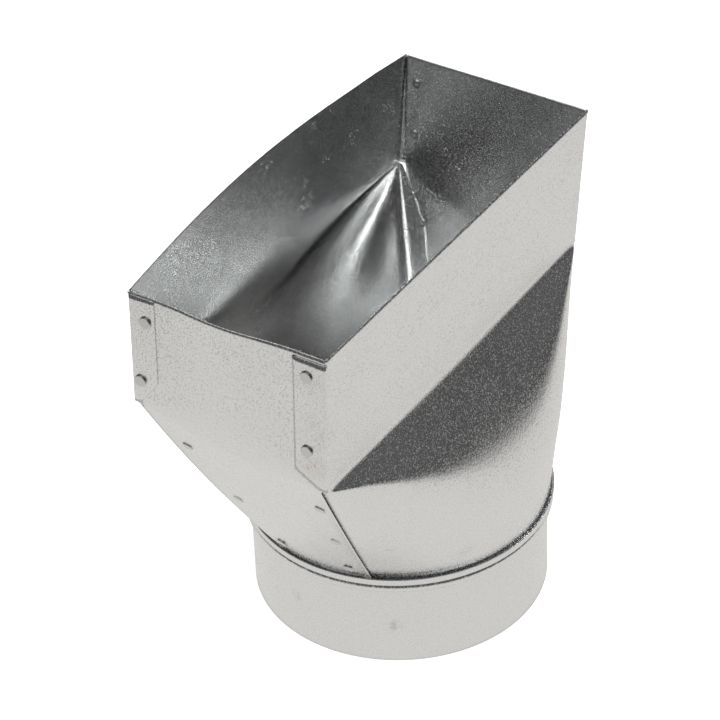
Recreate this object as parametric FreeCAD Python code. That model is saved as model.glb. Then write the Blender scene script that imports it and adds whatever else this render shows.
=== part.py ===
import FreeCAD, Part
import math
import os

V = FreeCAD.Vector

os.makedirs("parts", exist_ok=True)

# Register boot of galvanised sheet: a rectangular mouth for a 4 x 10 in floor
# register on top, a folded transition below it, and a beaded collar for a 6 in
# round duct at the bottom. All sizes are in millimetres and degrees.
# The origin is the centre of the collar's bottom rim, +Z runs up the collar's
# axis, X runs along the long side of the mouth and Y across it.

# Sheet and fit
sheet = 0.4                # 30 gauge galvanised steel
lap_gap = 0.1              # air left between two lapped sheets

# Collar
collar_radius = 76.6       # outside of the plain spigot
spigot_height = 47.5       # plain stretch below the bead
bead_height = 4.6
bead_reach = 3.2           # how far the bead stands out of the spigot
bead_neck = 0.4            # narrow groove between the bead and the folded ring

# Ring where the collar is folded over the feet of the panels
foot_step = 1.6            # the panels come down this far outside the spigot
flare_radius = 0.9         # foot of each panel turns outwards on this radius
flange_reach = 0.3         # flat part of the foot after the turn
ring_height = 3.5
ring_grip = 0.5            # how far the ring reaches back over the foot

# Mouth, measured over the outside of its walls
mouth_length = 255.8
mouth_width = 104.4
mouth_height = 243.0       # middle of the rim above the collar's bottom rim
mouth_shift = -19.5        # middle of the rim along X, off the collar's axis
mouth_dip = 3.0            # the mouth dips towards its rear end
mouth_roll = 1.8           # and leans towards the near side
near_wall_height = 76.0
far_wall_height = 63.0
end_lean = 2.9             # the end walls close in towards the fold
far_bow = 9.7              # the far rim is sprung outwards in the middle
front_bow = 2.6            # and the front rim a little, between its tabs

# Tabs at the ends of the long walls, folded round the corners
near_front_tab_width = 17.0
far_front_tab_width = 14.0
rear_tab_width = 15.0
near_tab_drop = 3.0        # near tabs start this far below the rim
far_tab_drop = 1.2
near_tab_slant = 8.0       # the free edge of a tab ends this far above the fold
far_tab_slant = 14.4

# Transition
seam_angle = 20.3          # seams meet the collar this far off the X axis
facet_swell = 32.0         # how far a long panel swells out below its fold
facet_drop = 58.0          # depth of the knee where it turns down again
corner_drop = 2.2          # and at the corners, where the facet runs out
swell_fullness = 0.75      # powers under 1 make it fuller near the corners
drop_fullness = 1.2
knee_round = 32.0          # length of the soft bend on each side of the knee
ridge_bow = 1.0            # how far the corner ridges stand out of a straight line
foot_height = 3.0          # short upright stretch above the foot's turn
end_panel_inset = 4.0      # top of an end panel's seam edge, in from the ridge
underlap = 14.5            # long panels run on under the end panels this far

# Rivets: flat head outside, upset dome inside
rivet_head_radius = 3.0
rivet_head_height = 0.9
rivet_head_edge = 0.2
rivet_shank_radius = 1.6
rivet_dome_radius = 2.5
rivet_dome_height = 1.3
hole_play = 0.1            # hole radius over shank radius
rivet_seat = 0.12          # heads, and domes on the flat tabs, stand this clear
dome_seat = 0.3            # domes on the strips of the seams, which are not flat

# Tab rivets: distance in from the folded corner, and depth below the rim
near_front_rivets = ((9.8, 12.4), (10.2, 55.0))
far_front_rivets = ((9.0, 14.5), (4.7, 49.4))
rear_rivets = ((7.7, 14.8), (8.2, 44.0))

# Seam rivets: distance in from the ridge, and share of the way down the seam
seam_rivet_inset = 10.7
seam_rivet_shares = (0.24, 0.59, 0.90)

# Worked out from the sizes above
lap = sheet + lap_gap
end_inset = 2 * lap        # the ridges start this far inside the tabs' faces
bead_middle = spigot_height + bead_height / 2
ring_bottom = spigot_height + bead_height + bead_neck
ring_top = ring_bottom + ring_height
foot_level = ring_bottom + sheet + lap_gap / 2 + sheet + flare_radius
foot_radius = collar_radius + foot_step
flange_radius = foot_radius + flare_radius + flange_reach
ring_radius = flange_radius + lap
grip = 2 * sheet + lap_gap  # what a rivet holds together

# Steps that shape the curved sheets
side_columns = 25          # lines down a long panel
end_columns = 25           # lines down an end panel
strip_columns = 3          # lines down a strip under an end panel
knee_points = 17           # points that give the knee's bend
slope_points = 19          # points on a line from the fold down to the heel
heel_points = 3            # on the bend above the foot
flare_points = 4           # on the foot's turn
bend_limit = 0.45          # share of a straight that a bend may take
beside_step = 0.02         # share of an end panel used to measure across it
flat_limit = 1e-6          # corners this close to a plane make a flat face
hole_reach = 2.0           # a hole is cut from this far outside to this far inside

NEAR = -1
FAR = 1
FRONT = -1
REAR = 1
SIDES = (NEAR, FAR)
ENDS = (FRONT, REAR)
ridge_share = {NEAR: 0.0, FAR: 1.0}
side_name = {NEAR: "near", FAR: "far"}
end_name = {FRONT: "front", REAR: "rear"}
wall_height = {NEAR: near_wall_height, FAR: far_wall_height}
wall_bow = {NEAR: 0.0, FAR: far_bow}
end_bow = {FRONT: front_bow, REAR: 0.0}
tab_drop = {NEAR: near_tab_drop, FAR: far_tab_drop}
tab_slant = {NEAR: near_tab_slant, FAR: far_tab_slant}
tab_width = {
    (FRONT, NEAR): near_front_tab_width,
    (FRONT, FAR): far_front_tab_width,
    (REAR, NEAR): rear_tab_width,
    (REAR, FAR): rear_tab_width,
}
tab_rivets = {
    (FRONT, NEAR): near_front_rivets,
    (FRONT, FAR): far_front_rivets,
    (REAR, NEAR): rear_rivets,
    (REAR, FAR): rear_rivets,
}

turn = FreeCAD.Rotation(V(0, 1, 0), mouth_dip).multiply(FreeCAD.Rotation(V(1, 0, 0), mouth_roll))
mouth = FreeCAD.Placement(V(mouth_shift, 0, mouth_height), turn)


# Points and directions of the mouth

def in_mouth(x, y, depth):
    """Point of the mouth: along it, across it and down from its rim."""
    return mouth.multVec(V(x, y, -depth))


def mouth_direction(x, y, z):
    direction = turn.multVec(V(x, y, z))
    direction.normalize()
    return direction


def end_reach(depth, inset):
    """Half the mouth's length at a depth, less an inset from the tabs' faces."""
    return mouth_length / 2 - inset - depth * math.tan(math.radians(end_lean))


def corner(end, side):
    """Where the fold of a long wall meets a corner ridge."""
    depth = wall_height[side]
    return in_mouth(end * end_reach(depth, end_inset), side * mouth_width / 2, depth)


def end_normal(end):
    lean = math.radians(end_lean)
    return mouth_direction(end * math.cos(lean), 0, -math.sin(lean))


def mitre(first, second):
    """Offset direction at a fold that keeps both its sheets at full thickness."""
    return (first + second) * (1 / (1 + first.dot(second)))


def spaced(start, stop, count):
    return [start + (stop - start) * i / (count - 1) for i in range(count)]


# Lines down the transition

def foot_point(angle, level, radius=foot_radius):
    return V(radius * math.cos(angle), radius * math.sin(angle), level)


def bend(before, middle, after, reach, count):
    """Points on a soft bend at the middle one of three points."""
    first = middle + (before - middle) * min(bend_limit, reach / (before - middle).Length)
    last = middle + (after - middle) * min(bend_limit, reach / (after - middle).Length)
    points = []
    for t in spaced(0.0, 1.0, count):
        points.append(first * (1 - t) ** 2 + middle * (2 * t * (1 - t)) + last * t ** 2)
    return points


def evenly(points, count):
    """Points at even distances along a line through some points."""
    reached = [0.0]
    for j in range(1, len(points)):
        reached.append(reached[-1] + (points[j] - points[j - 1]).Length)
    even = []
    j = 0
    for place in spaced(0.0, reached[-1], count):
        while j < len(points) - 2 and reached[j + 1] < place:
            j += 1
        part = (place - reached[j]) / (reached[j + 1] - reached[j])
        even.append(points[j] + (points[j + 1] - points[j]) * part)
    return even


def seam_direction(end, side):
    """Plan angle at which a seam meets the collar."""
    off = math.radians(seam_angle)
    angle = off if end == REAR else math.pi - off
    return angle * side


def down_line(top, swell, drop, angle, bow):
    """Points from a fold over the knee to the flange in the collar's ring.

    The knee lies a drop below the fold, on the straight way to the collar or
    swelled out of it; a bow adds a long soft bend to the whole line.
    """
    heel = foot_point(angle, foot_level + foot_height)
    foot = foot_point(angle, foot_level)
    straight = top + (heel - top) * (drop / (top.z - heel.z))
    knee = straight + V(0, swell, 0)
    knee_bend = bend(top, knee, heel, knee_round, knee_points)
    heel_bend = bend(knee, heel, foot, foot_height, heel_points)
    points = evenly([top] + knee_bend + [heel_bend[0]], slope_points)
    for j in range(1, len(points)):
        sunk = (top.z - points[j].z) / (top.z - heel.z)
        points[j] = points[j] + bow * math.sin(math.pi * sunk)
    points += heel_bend[1:]
    for bent in spaced(0.0, math.pi / 2, flare_points):
        radius = foot_radius + flare_radius * (1 - math.cos(bent))
        points.append(foot_point(angle, foot_level - flare_radius * math.sin(bent), radius))
    points.append(foot_point(angle, foot_level - flare_radius, flange_radius))
    return points


def side_line(side, share):
    """Line down a long panel; share runs from its front ridge to its rear one."""
    top = corner(FRONT, side) + (corner(REAR, side) - corner(FRONT, side)) * share
    start = seam_direction(FRONT, side)
    angle = start + (seam_direction(REAR, side) - start) * share
    arch = math.sin(math.pi * share)
    drop = corner_drop + (facet_drop - corner_drop) * arch ** drop_fullness
    heel = foot_point(angle, foot_level + foot_height)
    straight = top.y + (heel.y - top.y) * drop / (top.z - heel.z)
    swell = (top.y + side * facet_swell - straight) * arch ** swell_fullness
    bow = V(2 * share - 1, side, 0) * (ridge_bow / math.sqrt(2) * (1 - arch))
    return down_line(top, swell, drop, angle, bow)


def end_line(end, share):
    """Line down an end panel; share runs from its near ridge to its far one."""
    top = corner(end, NEAR) + (corner(end, FAR) - corner(end, NEAR)) * share
    start = seam_direction(end, NEAR)
    stop = seam_direction(end, FAR)
    if end == FRONT:
        stop -= 2 * math.pi
    bow = V(end, 2 * share - 1, 0) * (ridge_bow / math.sqrt(2))
    bow = bow - V(end, 0, 0) * (ridge_bow / 2 * math.sin(math.pi * share))
    return down_line(top, 0, corner_drop, start + (stop - start) * share, bow)


def row_normals(lines, i, outwards):
    """Sheet normals down line i of some lines; they point outwards at its middle."""
    before = lines[max(i - 1, 0)]
    after = lines[min(i + 1, len(lines) - 1)]
    line = lines[i]
    last = len(line) - 1
    normals = []
    for j in range(last + 1):
        if j == 0:
            down = line[1] - line[0]
        elif j == last:
            down = line[last] - line[last - 1]
        else:
            above = line[j] - line[j - 1]
            below = line[j + 1] - line[j]
            down = above * (below.Length / above.Length) + below * (above.Length / below.Length)
        normal = down.cross(after[j] - before[j])
        normal.normalize()
        normals.append(normal)
    if normals[last // 2].dot(outwards) < 0:
        normals = [normal * -1 for normal in normals]
    return normals


def end_line_normals(end, share):
    """Line down an end panel with the sheet's normals along it."""
    around = (share - beside_step, share, share + beside_step)
    lines = [end_line(end, beside) for beside in around]
    return lines[1], row_normals(lines, 1, V(end, 0, 0))


def seam_shares(end, side, top_inset, foot_inset):
    """Shares of an end panel, row by row, at an inset that changes down its ridge."""
    ridge = end_line(end, ridge_share[side])
    beside = end_line(end, ridge_share[side] - side * beside_step)
    shares = []
    for j in range(len(ridge)):
        sunk = (ridge[0].z - ridge[j].z) / (ridge[0].z - foot_level)
        inset = top_inset + (foot_inset - top_inset) * min(1.0, sunk)
        shares.append(ridge_share[side] - side * beside_step * inset / (beside[j] - ridge[j]).Length)
    return shares


def end_points(end, shares):
    """Points and normals of an end panel, each row at its own share."""
    points = []
    normals = []
    for j in range(len(shares)):
        line, across = end_line_normals(end, shares[j])
        points.append(line[j])
        normals.append(across[j])
    return points, normals


# Faces and closed sheets

def smooth_edge(points, places=None):
    """Curve through points, at given places along it where it has to match another one."""
    curve = Part.BSplineCurve()
    if places is None:
        curve.interpolate(points)
    else:
        curve.interpolate(Points=points, Parameters=places)
    return curve.toShape()


def strip(first, second):
    """Ruled face between two edges that run the same way."""
    return Part.makeRuledSurface(first, second, 1)


def quad(a, b, c, d):
    """Four-cornered face: flat if its corners lie in a plane, ruled if not."""
    normal = (b - a).cross(d - a)
    normal.normalize()
    if abs((c - a).dot(normal)) < flat_limit:
        return Part.Face(Part.makePolygon([a, b, c, d, a]))
    return strip(Part.makeLine(a, b), Part.makeLine(d, c))


def smooth_face(grid):
    """Face through a grid of points, its first and last line and row, and its rows' places."""
    surface = Part.BSplineSurface()
    surface.interpolate(grid)
    u0, u1, v0, v1 = surface.bounds()
    edges = [surface.uIso(u0), surface.uIso(u1), surface.vIso(v0), surface.vIso(v1)]
    return surface.toShape(), [edge.toShape() for edge in edges], surface.getVKnots()


def closed(faces):
    """Solid inside faces that share their edges."""
    sewn = Part.Compound(faces)
    sewn.sewShape()
    solid = Part.Solid(sewn.Shells[0])
    if solid.Volume < 0:
        solid.reverse()
    return solid


# Long panels

def side_fold_offset(side):
    """Step from the outside to the inside of the fold under a long wall."""
    tilt = math.atan2(facet_swell, facet_drop)
    facet = V(0, side * math.cos(tilt), math.sin(tilt))
    return mitre(mouth_direction(0, side, 0), facet) * -sheet


def side_post(end, side, depth):
    """Outside and inside of a long wall above a ridge."""
    reach = end * end_reach(depth, end_inset)
    if depth == wall_height[side]:
        return corner(end, side), corner(end, side) + side_fold_offset(side)
    return (in_mouth(reach, side * mouth_width / 2, depth),
            in_mouth(reach, side * (mouth_width / 2 - sheet), depth))


def corner_post(end, side, depth):
    """Outside and inside of a long wall's folded corner."""
    outer = in_mouth(end * end_reach(depth, 0), side * mouth_width / 2, depth)
    if depth == wall_height[side]:
        return outer, outer + side_fold_offset(side) - mouth_direction(end, 0, 0) * sheet
    return outer, in_mouth(end * end_reach(depth, sheet), side * (mouth_width / 2 - sheet), depth)


def wall_row(side, depth):
    """Outer and inner edge along a long wall between its ridges."""
    front = side_post(FRONT, side, depth)
    rear = side_post(REAR, side, depth)
    bow = wall_bow[side] * (1 - depth / wall_height[side])
    if bow == 0:
        return [Part.makeLine(front[k], rear[k]) for k in (0, 1)]
    out = mouth_direction(0, side, 0)
    edges = []
    for k in (0, 1):
        points = []
        for share in spaced(0.0, 1.0, end_columns):
            straight = front[k] + (rear[k] - front[k]) * share
            points.append(straight + out * (bow * math.sin(math.pi * share)))
        edges.append(smooth_edge(points))
    return edges


def side_wall_faces(side):
    """Long wall without its ends: two bands, above and below the tabs' tops."""
    rim = wall_row(side, 0)
    band = wall_row(side, tab_drop[side])
    fold = wall_row(side, wall_height[side])
    faces = [strip(rim[0], rim[1])]
    for k in (0, 1):
        faces.append(strip(rim[k], band[k]))
        faces.append(strip(band[k], fold[k]))
    return faces


def tab_faces(end, side):
    """End of a long wall with the tab folded round the corner.

    The tab's foot is level as far in as the end panel's seam edge, then it slants up.
    """
    drop = tab_drop[side]
    height = wall_height[side]
    ridge = [side_post(end, side, depth) for depth in (0, drop, height)]
    edge = [corner_post(end, side, depth) for depth in (0, drop, height)]
    posts = []
    for width, foot in ((end_panel_inset, height), (tab_width[end, side], height - tab_slant[side])):
        y = side * (mouth_width / 2 - width)
        for depth in (drop, foot):
            posts.append([in_mouth(end * end_reach(depth, inset), y, depth) for inset in (0, sheet)])
    waist = posts[:2]
    tip = posts[2:]
    faces = []
    for k in (0, 1):
        faces.append(quad(ridge[0][k], edge[0][k], edge[1][k], ridge[1][k]))
        faces.append(quad(ridge[1][k], edge[1][k], edge[2][k], ridge[2][k]))
        faces.append(quad(edge[1][k], waist[0][k], waist[1][k], edge[2][k]))
        faces.append(quad(waist[0][k], tip[0][k], tip[1][k], waist[1][k]))
    rim = (ridge[0], edge[0], edge[1], waist[0], tip[0], tip[1], waist[1], edge[2], ridge[2])
    for i in range(len(rim) - 1):
        faces.append(quad(rim[i][0], rim[i + 1][0], rim[i + 1][1], rim[i][1]))
    return faces


def underlap_edges(end, side, part):
    """Outer and inner points of a line down a strip, a part of its width from the ridge."""
    shares = seam_shares(end, side, underlap * part, underlap * part)
    outer, normals = end_points(end, shares)
    return outer, [outer[j] - normals[j] * sheet for j in range(len(outer))]


def transition_faces(side):
    """Facet and skirt of a long panel, and its strips under the end panels."""
    last = side_columns - 1
    lines = [side_line(side, (1 - math.cos(math.pi * t)) / 2) for t in spaced(0.0, 1.0, side_columns)]
    inner = []
    for i in range(side_columns):
        normals = row_normals(lines, i, V(0, side, 0))
        if i in (0, last):
            end = FRONT if i == 0 else REAR
            beyond = end_line_normals(end, ridge_share[side])[1]
            normals = [mitre(normals[j], beyond[j]) for j in range(len(normals))]
        line = [lines[i][j] - normals[j] * sheet for j in range(len(normals))]
        line[0] = lines[i][0] + side_fold_offset(side)
        inner.append(line)
    outer_face, outer_edges, outer_places = smooth_face(lines)
    inner_face, inner_edges, inner_places = smooth_face(inner)
    faces = [outer_face, inner_face, strip(outer_edges[3], inner_edges[3])]
    for k, i, end in ((0, 0, FRONT), (1, last, REAR)):
        edges = [outer_edges[k], inner_edges[k]]
        line = [lines[i], inner[i]]
        for part in spaced(0.0, 1.0, strip_columns)[1:]:
            next_line = underlap_edges(end, side, part)
            next_edges = [smooth_edge(next_line[0], outer_places), smooth_edge(next_line[1], inner_places)]
            for n in (0, 1):
                faces.append(strip(edges[n], next_edges[n]))
            for j in (0, -1):
                faces.append(quad(line[0][j], next_line[0][j], next_line[1][j], line[1][j]))
            edges = next_edges
            line = next_line
        faces.append(strip(edges[0], edges[1]))
    return faces


def side_panel(side):
    faces = side_wall_faces(side) + transition_faces(side)
    for end in ENDS:
        faces += tab_faces(end, side)
    return closed(faces)


# End panels

def end_rim_bow(end, y):
    """How far the rim of an end wall stands out, at a distance from its middle."""
    low = -mouth_width / 2 + tab_width[end, NEAR]
    high = mouth_width / 2 - tab_width[end, FAR]
    along = (2 * y - low - high) / (high - low)
    if abs(along) >= 1:
        return 0.0
    return end_bow[end] * (1 + math.cos(math.pi * along)) / 2


def end_panel(end):
    """Short wall of the mouth, inside the tabs, and its slope to the collar."""
    near_edge = seam_shares(end, NEAR, end_panel_inset, lap)
    far_edge = seam_shares(end, FAR, end_panel_inset, lap)
    rims = ([], [])
    grids = ([], [])
    for across in spaced(0.0, 1.0, end_columns):
        shares = [near_edge[j] + (far_edge[j] - near_edge[j]) * across for j in range(len(near_edge))]
        points, normals = end_points(end, shares)
        normals[0] = mitre(end_normal(end), normals[0])
        y = (mouth_width / 2 - lap) * (2 * across - 1)
        for k, offset in ((0, lap), (1, lap_gap)):
            grids[k].append([points[j] + normals[j] * offset for j in range(len(points))])
            inset = lap + sheet * k
            rims[k].append(in_mouth(end * (end_reach(0, inset) + end_rim_bow(end, y)), y, 0))
    outer_face, outer_edges = smooth_face(grids[0])[:2]
    inner_face, inner_edges = smooth_face(grids[1])[:2]
    faces = [outer_face, inner_face]
    for k in (0, 1, 3):
        faces.append(strip(outer_edges[k], inner_edges[k]))
    outer_rim = smooth_edge(rims[0])
    inner_rim = smooth_edge(rims[1])
    faces.append(strip(outer_rim, inner_rim))
    faces.append(strip(outer_rim, outer_edges[2]))
    faces.append(strip(inner_rim, inner_edges[2]))
    for i in (0, -1):
        faces.append(quad(rims[0][i], grids[0][i][0], grids[1][i][0], rims[1][i]))
    return closed(faces)


# Collar

def collar():
    """Spigot, bead and folded ring, turned from one strip of sheet."""
    outside = collar_radius
    inside = collar_radius - sheet
    bead_top = spigot_height + bead_height
    bead = Part.Arc(
        V(outside, 0, spigot_height),
        V(outside + bead_reach, 0, bead_middle),
        V(outside, 0, bead_top))
    bead_inside = Part.Arc(
        V(outside, 0, bead_top - sheet),
        V(outside + bead_reach - sheet, 0, bead_middle),
        V(outside, 0, spigot_height + sheet))
    ring = [
        V(outside, 0, bead_top),
        V(outside, 0, ring_bottom),
        V(ring_radius, 0, ring_bottom),
        V(ring_radius, 0, ring_top),
        V(ring_radius - sheet - ring_grip, 0, ring_top),
        V(ring_radius - sheet - ring_grip, 0, ring_top - sheet),
        V(ring_radius - sheet, 0, ring_top - sheet),
        V(ring_radius - sheet, 0, ring_bottom + sheet),
        V(inside, 0, ring_bottom + sheet),
        V(inside, 0, bead_top - sheet),
        V(outside, 0, bead_top - sheet)]
    spigot = [
        V(outside, 0, spigot_height + sheet),
        V(inside, 0, spigot_height + sheet),
        V(inside, 0, 0),
        V(outside, 0, 0),
        V(outside, 0, spigot_height)]
    edges = [bead.toShape()] + Part.makePolygon(ring).Edges
    edges += [bead_inside.toShape()] + Part.makePolygon(spigot).Edges
    profile = Part.Face(Part.Wire(edges))
    return profile.revolve(V(0, 0, 0), V(0, 0, 1), 360)


# Rivets

def rivet(place, inside_seat):
    """Rivet through two lapped sheets, with its axis along Z before it is placed."""
    head_top = rivet_seat + rivet_head_height
    dome_foot = -grip - inside_seat
    dome_top = dome_foot - rivet_dome_height
    outline = [
        V(0, 0, dome_top),
        V(0, 0, head_top),
        V(rivet_head_radius - rivet_head_edge, 0, head_top),
        V(rivet_head_radius, 0, head_top - rivet_head_edge),
        V(rivet_head_radius, 0, rivet_seat),
        V(rivet_shank_radius, 0, rivet_seat),
        V(rivet_shank_radius, 0, dome_foot),
        V(rivet_dome_radius, 0, dome_foot)]
    round_radius = (rivet_dome_radius ** 2 + rivet_dome_height ** 2) / (2 * rivet_dome_height)
    half_slope = math.asin(rivet_dome_radius / round_radius) / 2
    middle = V(round_radius * math.sin(half_slope), 0, dome_top + round_radius * (1 - math.cos(half_slope)))
    dome = Part.Arc(outline[-1], middle, outline[0])
    profile = Part.Face(Part.Wire(Part.makePolygon(outline).Edges + [dome.toShape()]))
    solid = profile.revolve(V(0, 0, 0), V(0, 0, 1), 360)
    solid.Placement = place
    return solid


def rivet_hole(place):
    """Room for a rivet's shank through both sheets."""
    start = V(0, 0, -grip - hole_reach)
    hole = Part.makeCylinder(rivet_shank_radius + hole_play, grip + 2 * hole_reach, start)
    hole.Placement = place
    return hole


def on_sheet(point, normal):
    return FreeCAD.Placement(point, FreeCAD.Rotation(V(0, 0, 1), normal))


def tab_rivet_place(end, side, inset, depth):
    """Where a rivet's axis meets the outside of a tab."""
    point = in_mouth(end * end_reach(depth, 0), side * (mouth_width / 2 - inset), depth)
    return on_sheet(point, end_normal(end))


def at_level(points, values, level):
    """What some values along a line down the transition come to at a height."""
    j = 0
    while points[j + 1].z > level:
        j += 1
    part = (points[j].z - level) / (points[j].z - points[j + 1].z)
    return values[j] * (1 - part) + values[j + 1] * part


def seam_rivet_place(end, side, sunk):
    """Where a rivet's axis meets the outside of an end panel, beside its ridge."""
    level = corner(end, side).z * (1 - sunk) + foot_level * sunk
    ridge = end_line(end, ridge_share[side])
    beside = end_line(end, ridge_share[side] - side * beside_step)
    width = (at_level(beside, beside, level) - at_level(ridge, ridge, level)).Length
    share = ridge_share[side] - side * beside_step * seam_rivet_inset / width
    points, normals = end_line_normals(end, share)
    normal = at_level(points, normals, level)
    normal.normalize()
    return on_sheet(at_level(points, points, level) + normal * lap, normal)


# All pieces; a rivet's name gives its corner and its number from the top down

panels = {}
for side in SIDES:
    panels[side_name[side] + "_side_panel"] = side_panel(side)
for end in ENDS:
    panels[end_name[end] + "_end_panel"] = end_panel(end)

rivets = {}
for end in ENDS:
    for side in SIDES:
        place_name = end_name[end] + "_" + side_name[side]
        placed = []
        for inset, depth in tab_rivets[end, side]:
            placed.append(("tab", tab_rivet_place(end, side, inset, depth), rivet_seat))
        for sunk in seam_rivet_shares:
            placed.append(("seam", seam_rivet_place(end, side, sunk), dome_seat))
        numbers = {"tab": 0, "seam": 0}
        for kind, place, seat in placed:
            numbers[kind] += 1
            rivets[place_name + "_" + kind + "_rivet_" + str(numbers[kind])] = rivet(place, seat)
            hole = rivet_hole(place)
            for name in (side_name[side] + "_side_panel", end_name[end] + "_end_panel"):
                panels[name] = panels[name].cut(hole)

panels["collar"] = collar()
for nodes in (panels, rivets):
    for name, shape in nodes.items():
        shape.exportStep("parts/" + name + ".step")
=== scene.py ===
import bmesh
import bpy
import math
from mathutils import Matrix, Vector

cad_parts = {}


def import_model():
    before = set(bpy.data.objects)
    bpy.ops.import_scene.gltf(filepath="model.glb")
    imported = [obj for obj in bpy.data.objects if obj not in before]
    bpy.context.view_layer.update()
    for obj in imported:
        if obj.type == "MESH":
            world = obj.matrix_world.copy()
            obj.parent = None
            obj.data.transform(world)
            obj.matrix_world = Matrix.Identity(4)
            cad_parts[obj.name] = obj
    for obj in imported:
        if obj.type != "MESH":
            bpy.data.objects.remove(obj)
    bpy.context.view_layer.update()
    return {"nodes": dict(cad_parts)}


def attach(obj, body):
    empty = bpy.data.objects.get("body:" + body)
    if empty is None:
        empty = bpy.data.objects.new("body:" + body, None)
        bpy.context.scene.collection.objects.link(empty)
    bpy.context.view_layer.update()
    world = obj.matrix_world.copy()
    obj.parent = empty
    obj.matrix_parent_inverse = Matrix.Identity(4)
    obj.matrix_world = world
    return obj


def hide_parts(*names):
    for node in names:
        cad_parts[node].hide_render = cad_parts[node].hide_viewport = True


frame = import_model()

MM = 0.001

# Register boot of galvanised sheet. Sizes are in millimetres until a mesh is placed; the
# origin is the centre of the collar's bottom rim, as in the frame.

# Sheet
SHEET = 0.4
LAP_GAP = 0.1
LAP = SHEET + LAP_GAP

# Mouth
MOUTH_LENGTH = 255.8
MOUTH_WIDTH = 104.4
MOUTH_HEIGHT = 243.0
MOUTH_SHIFT = -19.5
MOUTH_DIP = 3.0
MOUTH_ROLL = 1.8
END_LEAN = 2.9
CORNER_RADIUS = 2 * LAP
FAR_BOW = 9.7
FRONT_BOW = 2.6

# Collar
COLLAR_RADIUS = 76.6
SPIGOT_HEIGHT = 47.5
BEAD_HEIGHT = 4.6
BEAD_REACH = 3.2
RING_BOTTOM = 52.5
RING_TOP = 56.0
RING_RADIUS = 79.9
RING_GRIP = 0.5
RING_EDGE = 0.25

# Transition
FOOT_RADIUS = 78.2
FLARE_RADIUS = 0.9
FLANGE_RADIUS = 79.4
FOOT_LEVEL = 54.25
FOOT_HEIGHT = 3.0
SEAM_ANGLE = 20.3
FACET_SWELL = 32.0
FACET_DROP = 58.0
CORNER_DROP = 2.2
SWELL_FULLNESS = 0.75
DROP_FULLNESS = 1.2
FOLD_ROUND = 3.2
FAR_FOLD_ROUND = 22.0
END_FOLD_ROUND = 14.0
END_FOLD_DROP = 34.0
KNEE_ROUND = 32.0
RIDGE_BOW = 2.6
END_PANEL_INSET = 4.0
EDGE_LIFT = 0.8
EDGE_LIFT_REACH = 7.0
LIFT_FULLNESS = 0.7
BEND_LIMIT = 0.45
CREASE_START = 0.5
CREASE_REACH = 75.0
CREASE_END = 8.0
CREASE_FADE = 30.0
SIDE_CREASES = ((9.0, -0.02), (15.0, 0.006))
END_CREASES = ((5.5, -0.012), (13.0, -0.003))
CREASE_ABOVE = 0.3
UNDERLAP = 14.5
UNDERLAP_AT_FOLD = 2.5
UNDERLAP_RUN = 0.2

NEAR = -1
FAR = 1
FRONT = -1
REAR = 1
SIDES = (NEAR, FAR)
ENDS = (FRONT, REAR)
SIDE_NAME = {NEAR: "near", FAR: "far"}
END_NAME = {FRONT: "front", REAR: "rear"}
WALL_HEIGHT = {NEAR: 76.0, FAR: 63.0}
TAB_DROP = {NEAR: 3.0, FAR: 1.2}
TAB_SLANT = {NEAR: 8.0, FAR: 14.4}
EAR_SHARE = 0.8
TAB_WIDTH = {(FRONT, NEAR): 17.0, (FRONT, FAR): 14.0, (REAR, NEAR): 15.0, (REAR, FAR): 15.0}

# Rows, columns and steps of the meshes. A tab ends at the middle row of the fold, and the strip
# under an end panel starts one row lower
EAR_ROWS = 2
WALL_ROWS = 18
FOLD_ROWS = 8
TAB_LAST_ROW = EAR_ROWS + WALL_ROWS + FOLD_ROWS // 2
RIDGE_FIRST_ROW = TAB_LAST_ROW + 2
FACET_ROWS = 5
KNEE_ROWS = 12
SKIRT_ROWS = 16
HEEL_ROWS = 4
FLARE_ROWS = 5
SIDE_COLUMNS = 144
END_COLUMNS = 64
BEND_COLUMNS = 4
TAB_COLUMNS = 8
RIDGE_PASSES = 5
RIDGE_REACH = 6
RIDGE_WEIGHT = 0.5
MEASURE_STEP = 0.02
NORMAL_STEP = 0.004
COLLAR_STEPS = 192
BEAD_STEPS = 14
BEAD_INSIDE_STEPS = 10
EDGE_STEPS = 3
SMOOTH_ANGLE = 40.0

# Finish of the sheet: speckle in its roughness, and scratches in a band under the rim
OUTSIDE_SPECKLE = 0.36
INSIDE_SPECKLE = 0.10
SCORED_TOP = 1.0
SCORED_BOTTOM = 12.0
STAIN_CORE = 0.2

# Stains: centre, radius, strength and colour
STAINS = (
    ((-147.4, -43.5, 186.0), 9.0, 0.45, "B39A88"),
    ((-147.4, -48.0, 205.0), 14.0, 0.30, "A8A29A"),
    ((-147.4, -44.0, 233.0), 12.0, 0.30, "B0ABA4"),
    ((-88.8, -46.9, 93.4), 5.0, 0.30, "9A9A98"),
    ((-49.7, -66.4, 70.6), 8.0, 0.28, "A39C97"),
    ((-68.0, -35.1, 23.1), 6.0, 0.35, "8C8C8A"),
    ((-74.6, 17.6, 27.7), 5.0, 0.30, "9A9A98"),
)

# Studio, in metres
STUDIO_STEPS = 96
FLOOR_RADIUS = 1.0
FLOOR_WARMTH = (1.0, 0.975, 0.945, 1)
CURTAIN_RADIUS = 2.0
CURTAIN_TOP = 2.4
CURTAIN_BOTTOM = -1.0

# Grey of the floor by the distance from the boot's axis, as the metal mirrors it: a painted shadow under the
# boot, then a painted pool of light around it that fades far off
FLOOR_PAINTED_SHADOW_AND_POOL = ((0.070, 0.05), (0.078, 0.78), (0.50, 0.78), (0.80, 0.09), (0.95, 0.07))

# Grey of the curtain by the share of its height above the floor
CURTAIN_SHADES = ((0.0, 0.085), (0.10, 0.09), (0.22, 0.12), (0.55, 0.08), (0.85, 0.13), (1.0, 0.45))

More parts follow.
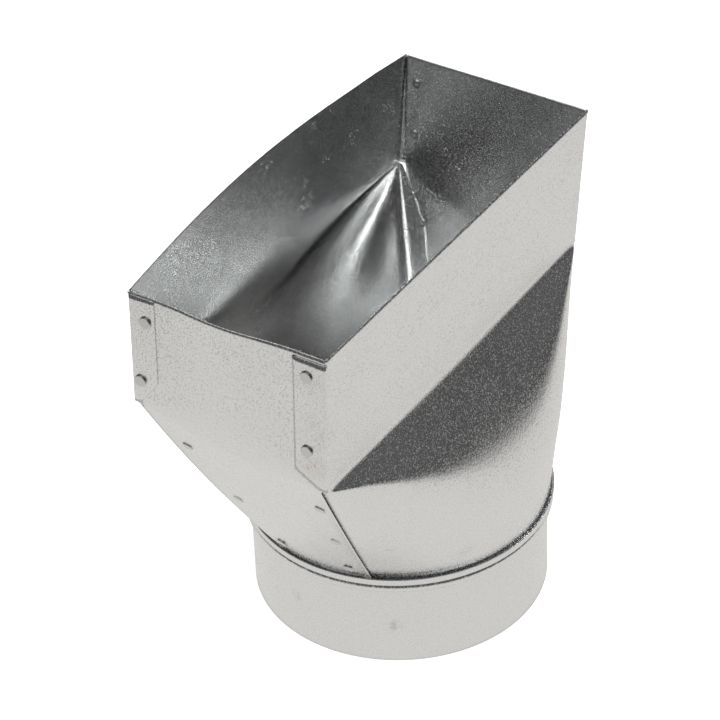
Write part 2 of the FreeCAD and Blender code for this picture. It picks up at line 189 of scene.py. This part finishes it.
# Lamps: name, place, aim, size and power
LAMPS = (
    ("overhead", (0.6, 0.0, 1.6), (0, 0, 0.12), 0.6, 16.0),
    ("rim_light", (1.3, 0.8, 1.35), (0, 0, 0.24), 0.5, 1.1),
)

# Camera
CAMERA_AZIMUTH = -58.362
CAMERA_ELEVATION = 36.939
CAMERA_ROLL = -2.329
CAMERA_DISTANCE = 1821.5
CAMERA_TARGET = (141.87, 107.83, 0.0)
CAMERA_FOCUS = 3200.0
FRAME_PIXELS = 720
SENSOR = 36.0

dip = Matrix.Rotation(math.radians(MOUTH_DIP), 4, "Y")
turn = dip @ Matrix.Rotation(math.radians(MOUTH_ROLL), 4, "X")
mouth = Matrix.Translation((MOUTH_SHIFT, 0, MOUTH_HEIGHT)) @ turn
BOOT_MIDDLE = Vector((MOUTH_SHIFT / 2, 0, 150))


# Shape of the boot, as points in millimetres

def in_mouth(x, y, depth):
    """Point of the mouth: along it, across it and down from its rim."""
    return mouth @ Vector((x, y, -depth))


def mouth_direction(x, y, z):
    return (turn.to_3x3() @ Vector((x, y, z))).normalized()


def end_reach(depth, inset):
    return MOUTH_LENGTH / 2 - inset - depth * math.tan(math.radians(END_LEAN))


def fold_corner(end, side):
    """Where the fold of a long wall meets a corner ridge."""
    depth = WALL_HEIGHT[side]
    return in_mouth(end * end_reach(depth, CORNER_RADIUS), side * MOUTH_WIDTH / 2, depth)


def rim_corner(end, side):
    return in_mouth(end * end_reach(0, CORNER_RADIUS), side * MOUTH_WIDTH / 2, 0)


def foot_point(angle, level, radius=FOOT_RADIUS):
    return Vector((radius * math.cos(angle), radius * math.sin(angle), level))


def seam_direction(end, side):
    off = math.radians(SEAM_ANGLE)
    angle = off if end == REAR else math.pi - off
    return angle * side


def straight(first, last, count):
    """Points from the first one up to, but not at, the last one."""
    return [first.lerp(last, i / count) for i in range(count)]


def bend(before, middle, after, reach, count):
    """First, last and inner points of a soft bend at the middle one of three points."""
    first = middle.lerp(before, min(BEND_LIMIT, reach / (before - middle).length))
    last = middle.lerp(after, min(BEND_LIMIT, reach / (after - middle).length))
    points = []
    for i in range(count + 1):
        t = i / count
        points.append(first * (1 - t) ** 2 + middle * (2 * t * (1 - t)) + last * t ** 2)
    return points


def down_line(rim, drop_share, fold, swell, drop, angle, bow, fold_round=FOLD_ROUND):
    """Line from the rim over the fold, the knee and the heel to the lip in the collar's ring."""
    heel = foot_point(angle, FOOT_LEVEL + FOOT_HEIGHT)
    foot = foot_point(angle, FOOT_LEVEL)
    knee = fold.lerp(heel, drop / (fold.z - heel.z)) + Vector((0, swell, 0))
    fold_bend = bend(rim, fold, knee, fold_round, FOLD_ROWS)
    knee_bend = bend(fold, knee, heel, KNEE_ROUND, KNEE_ROWS)
    heel_bend = bend(knee, heel, foot, FOOT_HEIGHT, HEEL_ROWS)
    wall_start = rim.lerp(fold_bend[0], drop_share)
    wall = [rim, rim.lerp(wall_start, EAR_SHARE)] + straight(wall_start, fold_bend[0], WALL_ROWS)
    slope = fold_bend
    slope += straight(fold_bend[-1], knee_bend[0], FACET_ROWS)[1:]
    slope += knee_bend + straight(knee_bend[-1], heel_bend[0], SKIRT_ROWS)[1:]
    for k in range(len(slope)):
        sunk = max(0.0, (fold.z - slope[k].z) / (fold.z - heel.z))
        slope[k] = slope[k] + bow * math.sin(math.pi * sunk)
    flare = []
    for k in range(1, FLARE_ROWS + 1):
        bent = math.pi / 2 * k / FLARE_ROWS
        radius = FOOT_RADIUS + FLARE_RADIUS * (1 - math.cos(bent))
        flare.append(foot_point(angle, FOOT_LEVEL - FLARE_RADIUS * math.sin(bent), radius))
    flare.append(foot_point(angle, FOOT_LEVEL - FLARE_RADIUS, FLANGE_RADIUS))
    return wall + slope + heel_bend + flare


def crease(point, outwards, creases):
    """Point of the rear far corner's sheets, moved by the creases that fan out from the fold."""
    corner = fold_corner(REAR, FAR)
    arm = point - corner
    reach = arm.length
    if reach < CREASE_START:
        return point
    foot = foot_point(seam_direction(REAR, FAR), FOOT_LEVEL)
    fan = arm.angle(foot - corner)
    above_end = (point.z - FOOT_LEVEL - CREASE_END) / CREASE_FADE
    fade = math.exp(-(reach / CREASE_REACH) ** 2) * min(1.0, max(0.0, above_end))
    if point.z > corner.z:
        fade *= CREASE_ABOVE
    waves = sum(depth * math.sin(pitch * fan) for pitch, depth in creases)
    return point + outwards * (reach * fade * waves)


def side_line(side, share):
    """Line down a long panel; share runs from its front ridge to its rear one."""
    fold = fold_corner(FRONT, side).lerp(fold_corner(REAR, side), share)
    rim = rim_corner(FRONT, side).lerp(rim_corner(REAR, side), share)
    arch = math.sin(math.pi * share)
    if side == FAR:
        rim = rim + mouth_direction(0, 1, 0) * (FAR_BOW * arch)
    start = seam_direction(FRONT, side)
    angle = start + (seam_direction(REAR, side) - start) * share
    drop = CORNER_DROP + (FACET_DROP - CORNER_DROP) * arch ** DROP_FULLNESS
    heel = foot_point(angle, FOOT_LEVEL + FOOT_HEIGHT)
    level = fold.y + (heel.y - fold.y) * drop / (fold.z - heel.z)
    swell = (fold.y + side * FACET_SWELL - level) * arch ** SWELL_FULLNESS
    bow = Vector((2 * share - 1, side, 0)) * (RIDGE_BOW / math.sqrt(2) * (1 - arch))
    fold_round = FOLD_ROUND
    if side == FAR:
        fold_round += FAR_FOLD_ROUND * arch ** 2
    return down_line(rim, TAB_DROP[side] / WALL_HEIGHT[side], fold, swell, drop, angle, bow, fold_round)


def end_rim_bow(end, y):
    """How far the rim of the front wall stands out between its tabs."""
    if end == REAR:
        return 0.0
    low = -MOUTH_WIDTH / 2 + TAB_WIDTH[end, NEAR]
    high = MOUTH_WIDTH / 2 - TAB_WIDTH[end, FAR]
    along = (2 * y - low - high) / (high - low)
    if abs(along) >= 1:
        return 0.0
    return FRONT_BOW * (1 + math.cos(math.pi * along)) / 2


def end_line(end, share):
    """Line down the face on which an end panel lies; share runs from its near ridge to its far one."""
    fold = fold_corner(end, NEAR).lerp(fold_corner(end, FAR), share)
    y = MOUTH_WIDTH * (share - 0.5)
    rim = in_mouth(end * (end_reach(0, CORNER_RADIUS) + end_rim_bow(end, y)), y, 0)
    start = seam_direction(end, NEAR)
    stop = seam_direction(end, FAR)
    if end == FRONT:
        stop -= 2 * math.pi
    bow = Vector((end, 2 * share - 1, 0)) * (RIDGE_BOW / math.sqrt(2))
    bow = bow - Vector((end, 0, 0)) * (RIDGE_BOW / 2 * math.sin(math.pi * share))
    drop_share = TAB_DROP[NEAR] / WALL_HEIGHT[NEAR]
    softness = math.sin(math.pi * share) ** 2
    drop = CORNER_DROP + END_FOLD_DROP * softness
    fold_round = FOLD_ROUND + END_FOLD_ROUND * softness
    return down_line(rim, drop_share, fold, 0, drop, start + (stop - start) * share, bow, fold_round)


def line_normals(before, line, after, outwards):
    """Sheet normals down a line, from the lines on both sides of it."""
    last = len(line) - 1
    normals = []
    for k in range(last + 1):
        down = line[min(k + 1, last)] - line[max(k - 1, 0)]
        normals.append(down.cross(after[k] - before[k]).normalized())
    if normals[last // 3].dot(outwards) < 0:
        normals = [-normal for normal in normals]
    return normals


# Meshes

def place(bm, name):
    """Finished mesh object in metres, smooth between its folds."""
    bmesh.ops.scale(bm, vec=(MM, MM, MM), verts=bm.verts)
    mesh = bpy.data.meshes.new(name)
    bm.to_mesh(mesh)
    bm.free()
    mesh.shade_smooth()
    mesh.set_sharp_from_angle(angle=math.radians(SMOOTH_ANGLE))
    piece = bpy.data.objects.new(name, mesh)
    bpy.context.scene.collection.objects.link(piece)
    return piece


def dress(piece, node, *materials):
    """Piece that stands for a node, with its outside's and its inside's finish."""
    for material in materials:
        piece.data.materials.append(material)
    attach(piece, "root")
    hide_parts(node)
    return piece


def blank(columns, rows, points):
    """Grid of quads whose corner in column i and row j lies at points[i][j]."""
    bm = bmesh.new()
    bmesh.ops.create_grid(bm, x_segments=columns, y_segments=rows, size=0.5)
    cells = {}
    for vert in bm.verts:
        i = round((vert.co.x + 0.5) * columns)
        j = round((vert.co.y + 0.5) * rows)
        cells[vert] = (i, j)
    for vert, (i, j) in cells.items():
        vert.co = points[i][j]
    return bm, cells


def cut_away(bm, cells, gone):
    """Removes each face of a blank whose lowest column and row a test names."""
    faces = []
    for face in bm.faces:
        i = min(cells[vert][0] for vert in face.verts)
        j = min(cells[vert][1] for vert in face.verts)
        if gone(i, j):
            faces.append(face)
    bmesh.ops.delete(bm, geom=faces, context="FACES")


def face_outwards(bm):
    """Turns a sheet's faces away from the boot's middle, if they look at it."""
    bm.normal_update()
    votes = 0.0
    for face in bm.faces:
        votes += (face.calc_center_median() - BOOT_MIDDLE).dot(face.normal) * face.calc_area()
    if votes < 0:
        bmesh.ops.reverse_faces(bm, faces=bm.faces)


def thicken(piece):
    """Sheet thickness, inwards from the modelled outside."""
    wall = piece.modifiers.new("sheet", "SOLIDIFY")
    wall.thickness = SHEET * MM
    wall.offset = -1.0
    wall.use_even_offset = False
    wall.use_rim = True
    wall.material_offset = 1


def tab_point(end, side, column, row):
    """Outside of a tab: its folded corner first, then its flat."""
    depth_top = TAB_DROP[side]
    height = WALL_HEIGHT[side]
    width = TAB_WIDTH[end, side]
    if column <= BEND_COLUMNS:
        bent = math.pi / 2 * column / BEND_COLUMNS
        inset = CORNER_RADIUS * (1 - math.sin(bent))
        across = CORNER_RADIUS * (1 - math.cos(bent))
    else:
        inset = 0.0
        across = CORNER_RADIUS + (width - CORNER_RADIUS) * (column - BEND_COLUMNS) / TAB_COLUMNS
    bottom = height - TAB_SLANT[side] * max(0.0, across - END_PANEL_INSET) / (width - END_PANEL_INSET)
    depth = depth_top + (bottom - depth_top) * (row - EAR_ROWS) / (TAB_LAST_ROW - EAR_ROWS)
    return in_mouth(end * end_reach(depth, inset), side * (MOUTH_WIDTH / 2 - across), depth)


def ear_point(end, side, column, row):
    """Flat end of a long wall above its tab."""
    depth = EAR_SHARE * TAB_DROP[side] * row
    inset = CORNER_RADIUS * (1 - min(column, BEND_COLUMNS) / BEND_COLUMNS)
    return in_mouth(end * end_reach(depth, inset), side * MOUTH_WIDTH / 2, depth)


def strip_width(level, end, side):
    """Strip under an end panel, cut back towards the fold."""
    sunk = (fold_corner(end, side).z - level) / (fold_corner(end, side).z - FOOT_LEVEL)
    return UNDERLAP_AT_FOLD + (UNDERLAP - UNDERLAP_AT_FOLD) * min(1.0, max(0.0, sunk / UNDERLAP_RUN))


def round_ridge(grid, ridge):
    """Rounds a panel across its corner ridge, more towards the middle of the ridge."""
    rows = len(grid[0])
    for smoothing in range(RIDGE_PASSES):
        for j in range(RIDGE_FIRST_ROW, rows):
            weight = RIDGE_WEIGHT * math.sin(math.pi * (j - RIDGE_FIRST_ROW) / (rows - RIDGE_FIRST_ROW))
            row = [column[j] for column in grid]
            for i in range(ridge - RIDGE_REACH, ridge + RIDGE_REACH + 1):
                grid[i][j] = row[i].lerp((row[i - 1] + row[i + 1]) / 2, weight)


def side_panel(side):
    """Long wall, tabs, facet, skirt and the strips under the end panels, folded from one blank."""
    lines = [side_line(side, i / SIDE_COLUMNS) for i in range(SIDE_COLUMNS + 1)]
    if side == FAR:
        lines = [[crease(point, Vector((0, 1, 0)), SIDE_CREASES) for point in line] for line in lines]
    rows = len(lines[0]) - 1
    extra = BEND_COLUMNS + TAB_COLUMNS
    wings = {}
    for end in ENDS:
        columns = []
        ridge_share = 0.0 if side == NEAR else 1.0
        ridge = end_line(end, ridge_share)
        beside = end_line(end, ridge_share - side * MEASURE_STEP)
        for c in range(1, extra + 1):
            points = []
            for j in range(rows + 1):
                if j < EAR_ROWS:
                    points.append(ear_point(end, side, c, j))
                elif j <= TAB_LAST_ROW:
                    points.append(tab_point(end, side, c, j))
                else:
                    inset = strip_width(ridge[j].z, end, side) * c / extra
                    share = ridge_share - side * MEASURE_STEP * inset / (beside[j] - ridge[j]).length
                    inner = end_line(end, share)[j]
                    if side == FAR and end == REAR:
                        inner = crease(inner, Vector((1, 0, 0)), END_CREASES)
                    points.append(inner)
            columns.append(points)
        wings[end] = columns
    grid = wings[FRONT][::-1] + lines + wings[REAR]
    for ridge in (extra, extra + SIDE_COLUMNS):
        round_ridge(grid, ridge)
    bm, cells = blank(len(grid) - 1, rows, grid)
    last = len(grid) - 2

    def gone(i, j):
        beyond = max(extra - 1 - i, i - (last - extra + 1))
        if beyond < 0:
            return False
        if j == EAR_ROWS - 1 or j == TAB_LAST_ROW:
            return True
        return j == 0 and beyond >= BEND_COLUMNS

    cut_away(bm, cells, gone)
    face_outwards(bm)
    piece = place(bm, SIDE_NAME[side] + "_side_sheet")
    thicken(piece)
    return piece


def edge_shares(end, side, top_inset, foot_inset):
    """Shares of an end face, row by row, at an inset from its ridge that changes downwards."""
    ridge_share = 0.0 if side == NEAR else 1.0
    ridge = end_line(end, ridge_share)
    beside = end_line(end, ridge_share - side * MEASURE_STEP)
    fold = fold_corner(end, side).z
    shares = []
    for j in range(len(ridge)):
        sunk = min(1.0, max(0.0, (fold - ridge[j].z) / (fold - FOOT_LEVEL)))
        inset = top_inset + (foot_inset - top_inset) * sunk
        if j <= TAB_LAST_ROW:
            down = max(0.0, j - EAR_ROWS) / (TAB_LAST_ROW - EAR_ROWS)
            inset = foot_inset + (top_inset - foot_inset) * down
        shares.append(ridge_share - side * MEASURE_STEP * inset / (beside[j] - ridge[j]).length)
    return shares


def end_panel(end):
    """Short wall and slope, lying on the long panels' strips; its seam edges stand off a little."""
    near_ridge = end_line(end, 0.0)
    far_ridge = end_line(end, 1.0)
    near_edge = edge_shares(end, NEAR, END_PANEL_INSET, LAP)
    far_edge = edge_shares(end, FAR, END_PANEL_INSET, LAP)
    rows = len(near_edge)
    grid = []
    for i in range(END_COLUMNS + 1):
        across = i / END_COLUMNS
        points = []
        for j in range(rows):
            share = near_edge[j] + (far_edge[j] - near_edge[j]) * across
            line = end_line(end, share)
            before = end_line(end, share - NORMAL_STEP)
            after = end_line(end, share + NORMAL_STEP)
            normals = line_normals(before, line, after, Vector((end, 0, 0)))
            from_edge = min(across, 1 - across) * (far_ridge[j] - near_ridge[j]).length
            sunk = max(0.0, j - TAB_LAST_ROW) / (rows - TAB_LAST_ROW)
            lift = EDGE_LIFT * max(0.0, 1 - from_edge / EDGE_LIFT_REACH) ** 2
            lift *= math.sin(math.pi * sunk) ** LIFT_FULLNESS
            point = line[j] + normals[j] * (LAP + lift)
            if end == REAR:
                point = crease(point, Vector((1, 0, 0)), END_CREASES)
            points.append(point)
        grid.append(points)
    bm, cells = blank(END_COLUMNS, rows - 1, grid)
    face_outwards(bm)
    piece = place(bm, END_NAME[end] + "_end_sheet")
    thicken(piece)
    return piece


def spun(profile):
    """Full turn about Z of a closed profile of (radius, height) points."""
    bm = bmesh.new()
    verts = [bm.verts.new((r, 0, z)) for r, z in profile]
    edges = [bm.edges.new((verts[i], verts[i + 1])) for i in range(len(verts) - 1)]
    edges.append(bm.edges.new((verts[-1], verts[0])))
    bmesh.ops.spin(
        bm, geom=verts + edges, cent=(0, 0, 0), axis=(0, 0, 1), dvec=(0, 0, 0),
        angle=2 * math.pi, steps=COLLAR_STEPS, use_merge=True, use_duplicate=False)
    bmesh.ops.remove_doubles(bm, verts=bm.verts, dist=0.001)
    bmesh.ops.recalc_face_normals(bm, faces=bm.faces)
    return bm


def arc(across, up, radius, start, stop, count):
    """Arc of a profile about a point across and up, between two angles in degrees."""
    points = []
    for i in range(count + 1):
        angle = math.radians(start + (stop - start) * i / count)
        points.append((across + radius * math.cos(angle), up + radius * math.sin(angle)))
    return points


def collar():
    """Spigot, bead and folded ring, spun from one strip."""
    outside = COLLAR_RADIUS
    inside = COLLAR_RADIUS - SHEET
    middle = SPIGOT_HEIGHT + BEAD_HEIGHT / 2
    profile = [(inside, 0.0), (outside, 0.0), (outside, SPIGOT_HEIGHT / 2)]
    profile += arc(outside, middle, BEAD_REACH, -90, 90, BEAD_STEPS)
    profile += [(outside, RING_BOTTOM), (RING_RADIUS - RING_EDGE, RING_BOTTOM)]
    profile += arc(RING_RADIUS - RING_EDGE, RING_BOTTOM + RING_EDGE, RING_EDGE, -90, 0, EDGE_STEPS)[1:]
    profile += arc(RING_RADIUS - RING_EDGE, RING_TOP - RING_EDGE, RING_EDGE, 0, 90, EDGE_STEPS)
    lip = RING_RADIUS - SHEET - RING_GRIP
    profile += [(lip, RING_TOP), (lip, RING_TOP - SHEET), (RING_RADIUS - SHEET, RING_TOP - SHEET)]
    profile += [(RING_RADIUS - SHEET, RING_BOTTOM + SHEET), (inside, RING_BOTTOM + SHEET)]
    profile += [(inside, middle + BEAD_REACH - SHEET)]
    profile += arc(outside, middle, BEAD_REACH - SHEET, 90, -90, BEAD_INSIDE_STEPS)
    profile += [(inside, middle - BEAD_REACH + SHEET), (inside, SPIGOT_HEIGHT / 2)]
    return place(spun(profile), "collar_strip")


# Materials

def linear(hex_colour):
    """Linear colour from an sRGB hex value."""
    values = []
    for i in (0, 2, 4):
        c = int(hex_colour[i:i + 2], 16) / 255
        values.append(c / 12.92 if c <= 0.04045 else ((c + 0.055) / 1.055) ** 2.4)
    return (*values, 1.0)


def add_node(tree, kind, settings=(), links=()):
    """Node of a kind, with its settings and input values, and links into its inputs."""
    node = tree.nodes.new(kind)
    for key, value in dict(settings).items():
        if isinstance(key, int) or key in node.inputs:
            node.inputs[key].default_value = value
        else:
            setattr(node, key, value)
    for key, source in dict(links).items():
        tree.links.new(source, node.inputs[key])
    return node


def shades(tree, value, stops):
    """Ramp of greys, or of linear colours, over a value."""
    node = add_node(tree, "ShaderNodeValToRGB", {}, {"Fac": value})
    ramp = node.color_ramp
    while len(ramp.elements) < len(stops):
        ramp.elements.new(1.0)
    for element, (position, colour) in zip(ramp.elements, stops):
        element.position = position
        element.color = colour if isinstance(colour, tuple) else (colour, colour, colour, 1)
    return node.outputs["Color"]


def empty_material(name):
    material = bpy.data.materials.new(name)
    material.use_nodes = True
    material.node_tree.nodes.clear()
    return material, material.node_tree


def galvanised_sheet(name, speckle):
    """Hot-dip galvanised steel with minimised spangle: a half mirror with a fine mottle, from the
    zinc's small crystals, over slow waves that rolling and folding leave in thin sheet."""
    material, tree = empty_material(name)
    where = add_node(tree, "ShaderNodeTexCoord").outputs["Object"]
    # Crystals about 1 mm across, as on the real coating
    crystals = add_node(
        tree, "ShaderNodeTexNoise", {"Scale": 1100.0, "Detail": 3.0, "Roughness": 0.6}, {"Vector": where})
    # Clouds of duller zinc, 15 to 40 mm across
    clouds = add_node(
        tree, "ShaderNodeTexNoise", {"Scale": 45.0, "Detail": 4.0, "Roughness": 0.6}, {"Vector": where})
    waves = add_node(tree, "ShaderNodeTexNoise", {"Scale": 22.0, "Detail": 1.0}, {"Vector": where})
    tint = shades(tree, crystals.outputs["Fac"], ((0.25, linear("D9DADA")), (0.75, linear("EEEFEF"))))
    # Fine scratches along the rim, where the boot is handled
    scratches = add_node(
        tree, "ShaderNodeMapping", {"Scale": (60.0, 60.0, 2500.0), "Rotation": (0.0, 0.25, 0.0)},
        {"Vector": where})
    scratches = add_node(
        tree, "ShaderNodeTexNoise", {"Scale": 1.0, "Detail": 2.0}, {"Vector": scratches.outputs["Vector"]})
    up = mouth_direction(0, 0, 1)
    top = up.dot(mouth.translation)
    handled = add_node(tree, "ShaderNodeVectorMath", {"operation": "DOT_PRODUCT", 1: tuple(up)}, {0: where})
    near_rim = add_node(
        tree, "ShaderNodeMapRange",
        {"From Min": (top - SCORED_BOTTOM) * MM, "From Max": (top - SCORED_TOP) * MM},
        {"Value": handled.outputs["Value"]})
    scored = add_node(
        tree, "ShaderNodeMapRange", {"From Min": 0.62, "From Max": 0.72}, {"Value": scratches.outputs["Fac"]})
    scored = add_node(tree, "ShaderNodeMath", {"operation": "MULTIPLY"}, {
        0: scored.outputs["Result"], 1: near_rim.outputs["Result"]})
    scored = add_node(tree, "ShaderNodeMath", {"operation": "MULTIPLY", 1: 0.35}, {0: scored.outputs[0]})
    marked = add_node(tree, "ShaderNodeMix", {"data_type": "RGBA", 7: linear("8A8A88")}, {
        0: scored.outputs[0], 6: tint})
    colour = marked.outputs[2]
    # Stains, each broken up by blots
    blots = add_node(
        tree, "ShaderNodeTexNoise", {"Scale": 420.0, "Detail": 4.0, "Roughness": 0.7}, {"Vector": where})
    for centre, radius, strength, shade in STAINS:
        spot = tuple(v * MM for v in centre)
        away = add_node(tree, "ShaderNodeVectorMath", {"operation": "DISTANCE", 1: spot}, {0: where})
        cover = add_node(
            tree, "ShaderNodeMapRange", {"From Min": radius * MM, "From Max": radius * STAIN_CORE * MM},
            {"Value": away.outputs["Value"]})
        patchy = add_node(
            tree, "ShaderNodeMapRange", {"From Min": 0.42, "From Max": 0.62, "To Max": strength},
            {"Value": blots.outputs["Fac"]})
        amount = add_node(tree, "ShaderNodeMath", {"operation": "MULTIPLY"}, {
            0: cover.outputs["Result"], 1: patchy.outputs["Result"]})
        marked = add_node(tree, "ShaderNodeMix", {"data_type": "RGBA", 7: linear(shade)}, {
            0: amount.outputs[0], 6: colour})
        colour = marked.outputs[2]
    # Duller clouds, and crystals that scatter the light
    dull = add_node(
        tree, "ShaderNodeMapRange", {"From Min": 0.3, "From Max": 0.75, "To Min": 0.13, "To Max": 0.19},
        {"Value": clouds.outputs["Fac"]})
    specks = add_node(
        tree, "ShaderNodeMapRange", {"From Min": 0.5, "From Max": 0.62, "To Max": speckle},
        {"Value": crystals.outputs["Fac"]})
    dull = add_node(tree, "ShaderNodeMath", {"operation": "ADD"}, {
        0: dull.outputs["Result"], 1: specks.outputs["Result"]})
    # Relief, from the slow waves to the crystals
    wavy = add_node(tree, "ShaderNodeBump", {"Strength": 1.0, "Distance": 0.0006}, {
        "Height": waves.outputs["Fac"]})
    coarse = add_node(tree, "ShaderNodeTexNoise", {"Scale": 560.0, "Detail": 1.0}, {"Vector": where})
    coarse = add_node(tree, "ShaderNodeBump", {"Strength": 1.0, "Distance": 0.00006}, {
        "Height": coarse.outputs["Fac"], "Normal": wavy.outputs["Normal"]})
    grain = add_node(tree, "ShaderNodeBump", {"Strength": 1.0, "Distance": 0.00009}, {
        "Height": crystals.outputs["Fac"], "Normal": coarse.outputs["Normal"]})
    shader = add_node(tree, "ShaderNodeBsdfPrincipled", {"Metallic": 1.0}, {
        "Base Color": colour, "Roughness": dull.outputs[0], "Normal": grain.outputs["Normal"]})
    add_node(tree, "ShaderNodeOutputMaterial", {}, {"Surface": shader.outputs["BSDF"]})
    return material


def rivet_steel():
    """Zinc-plated steel rivets, flattened by the set: a little darker and duller than the sheet."""
    material, tree = empty_material("rivet_steel")
    where = add_node(tree, "ShaderNodeTexCoord").outputs["Object"]
    marks = add_node(tree, "ShaderNodeTexNoise", {"Scale": 1500.0, "Detail": 2.0}, {"Vector": where})
    dents = add_node(tree, "ShaderNodeBump", {"Strength": 1.0, "Distance": 0.00005}, {
        "Height": marks.outputs["Fac"]})
    shader = add_node(
        tree, "ShaderNodeBsdfPrincipled",
        {"Metallic": 1.0, "Roughness": 0.26, "Base Color": linear("CFCFCD")},
        {"Normal": dents.outputs["Normal"]})
    add_node(tree, "ShaderNodeOutputMaterial", {}, {"Surface": shader.outputs["BSDF"]})
    return material


# Studio

def stage_piece(bm, name, material):
    mesh = bpy.data.meshes.new(name)
    bm.to_mesh(mesh)
    bm.free()
    mesh.materials.append(material)
    thing = bpy.data.objects.new(name, mesh)
    bpy.context.scene.collection.objects.link(thing)
    return thing


def floor():
    """Round white table top. In the metal it glows with a painted pool of light around the boot that fades
    far off, and with a painted shadow under the boot.
    """
    bm = bmesh.new()
    bmesh.ops.create_circle(bm, cap_ends=True, segments=STUDIO_STEPS, radius=FLOOR_RADIUS)
    material, tree = empty_material("white_paper_floor")
    where = add_node(tree, "ShaderNodeTexCoord").outputs["Object"]
    away = add_node(tree, "ShaderNodeVectorMath", {"operation": "LENGTH"}, {0: where}).outputs["Value"]
    # Painted shadow under the boot and painted pool of light around it, by the distance from the boot's axis
    painted_shadow_and_pool = shades(tree, away, FLOOR_PAINTED_SHADOW_AND_POOL)
    warm = add_node(
        tree, "ShaderNodeMix", {"data_type": "RGBA", "blend_type": "MULTIPLY", 0: 1.0, 7: FLOOR_WARMTH},
        {6: painted_shadow_and_pool})
    white = add_node(tree, "ShaderNodeEmission", {"Color": linear("FFFFFF"), "Strength": 0.95})
    paper = add_node(tree, "ShaderNodeBsdfDiffuse", {"Color": linear("F2F2F2")})
    seen = add_node(tree, "ShaderNodeAddShader", {}, {0: white.outputs[0], 1: paper.outputs[0]})
    # Glow with the painted shadow and pool of light, for every ray but the camera's; the camera sees the
    # white paper with its real shadow
    glow = add_node(tree, "ShaderNodeEmission", {}, {"Color": warm.outputs[2]})
    path = add_node(tree, "ShaderNodeLightPath")
    both = add_node(tree, "ShaderNodeMixShader", {}, {
        0: path.outputs["Is Camera Ray"], 1: glow.outputs[0], 2: seen.outputs[0]})
    add_node(tree, "ShaderNodeOutputMaterial", {}, {"Surface": both.outputs[0]})
    stage_piece(bm, "studio_floor", material)


def studio_walls():
    """Dark curtain all round, which the metal mirrors at the level of the horizon."""
    bm = bmesh.new()
    bmesh.ops.create_cone(
        bm, cap_ends=False, segments=STUDIO_STEPS, radius1=CURTAIN_RADIUS, radius2=CURTAIN_RADIUS,
        depth=CURTAIN_TOP - CURTAIN_BOTTOM)
    bmesh.ops.translate(bm, vec=(0, 0, (CURTAIN_TOP + CURTAIN_BOTTOM) / 2), verts=bm.verts)
    material, tree = empty_material("dark_curtain")
    where = add_node(tree, "ShaderNodeTexCoord").outputs["Object"]
    height = add_node(tree, "ShaderNodeSeparateXYZ", {}, {"Vector": where}).outputs["Z"]
    share = add_node(tree, "ShaderNodeMapRange", {"From Max": CURTAIN_TOP}, {"Value": height})
    shade = shades(tree, share.outputs["Result"], CURTAIN_SHADES)
    glow = add_node(tree, "ShaderNodeEmission", {}, {"Color": shade})
    add_node(tree, "ShaderNodeOutputMaterial", {}, {"Surface": glow.outputs[0]})
    curtain = stage_piece(bm, "studio_curtain", material)
    curtain.visible_camera = False
    curtain.visible_shadow = False


def world():
    """White to the eye and in the metal, and dimmer as a light."""
    sky = bpy.data.worlds.new("studio")
    bpy.context.scene.world = sky
    sky.use_nodes = True
    tree = sky.node_tree
    tree.nodes.clear()
    dim = add_node(tree, "ShaderNodeBackground", {"Strength": 0.5})
    white = add_node(tree, "ShaderNodeBackground", {"Color": (1, 1, 1, 1), "Strength": 1.0})
    path = add_node(tree, "ShaderNodeLightPath")
    eye = add_node(tree, "ShaderNodeMath", {"operation": "MAXIMUM"}, {
        0: path.outputs["Is Camera Ray"], 1: path.outputs["Is Glossy Ray"]})
    eye = add_node(tree, "ShaderNodeMath", {"operation": "MAXIMUM"}, {
        0: eye.outputs[0], 1: path.outputs["Is Transmission Ray"]})
    mix = add_node(tree, "ShaderNodeMixShader", {}, {
        0: eye.outputs[0], 1: dim.outputs[0], 2: white.outputs[0]})
    add_node(tree, "ShaderNodeOutputWorld", {}, {"Surface": mix.outputs[0]})


def lamp(name, place_at, aim, size, power):
    light = bpy.data.lights.new(name, "AREA")
    light.shape = "SQUARE"
    light.size = size
    light.energy = power
    thing = bpy.data.objects.new(name, light)
    bpy.context.scene.collection.objects.link(thing)
    thing.location = place_at
    thing.rotation_euler = (Vector(aim) - Vector(place_at)).to_track_quat("-Z", "Y").to_euler()


def camera():
    """The photograph's view, fitted to the collar's ellipses and the mouth's corners."""
    azimuth = math.radians(CAMERA_AZIMUTH)
    elevation = math.radians(CAMERA_ELEVATION)
    roll = math.radians(CAMERA_ROLL)
    forward = Vector((
        -math.sin(azimuth) * math.cos(elevation),
        math.cos(azimuth) * math.cos(elevation),
        -math.sin(elevation)))
    level = Vector((math.cos(azimuth), math.sin(azimuth), 0))
    up = level.cross(forward)
    right = level * math.cos(roll) + up * math.sin(roll)
    top = up * math.cos(roll) - level * math.sin(roll)
    data = bpy.data.cameras.new("photo_view")
    data.sensor_width = SENSOR
    data.sensor_height = SENSOR
    data.lens = CAMERA_FOCUS / FRAME_PIXELS * SENSOR
    data.clip_end = 100.0
    thing = bpy.data.objects.new("photo_view", data)
    bpy.context.scene.collection.objects.link(thing)
    place_at = (Vector(CAMERA_TARGET) - forward * CAMERA_DISTANCE) * MM
    axes = Matrix((right, top, -forward)).transposed()
    thing.matrix_world = Matrix.Translation(place_at) @ axes.to_4x4()
    bpy.context.scene.camera = thing


galvanised = galvanised_sheet("galvanised_sheet", OUTSIDE_SPECKLE)
inside = galvanised_sheet("galvanised_sheet_inside", INSIDE_SPECKLE)
rivet = rivet_steel()
for side in SIDES:
    dress(side_panel(side), SIDE_NAME[side] + "_side_panel", galvanised, inside)
for end in ENDS:
    dress(end_panel(end), END_NAME[end] + "_end_panel", galvanised, inside)
dress(collar(), "collar", galvanised)
for name, node in frame["nodes"].items():
    if "_rivet_" in name:
        for slot in node.material_slots:
            slot.material = rivet

floor()
studio_walls()
world()
for settings in LAMPS:
    lamp(*settings)
camera()
bpy.context.scene.view_settings.view_transform = "Standard"
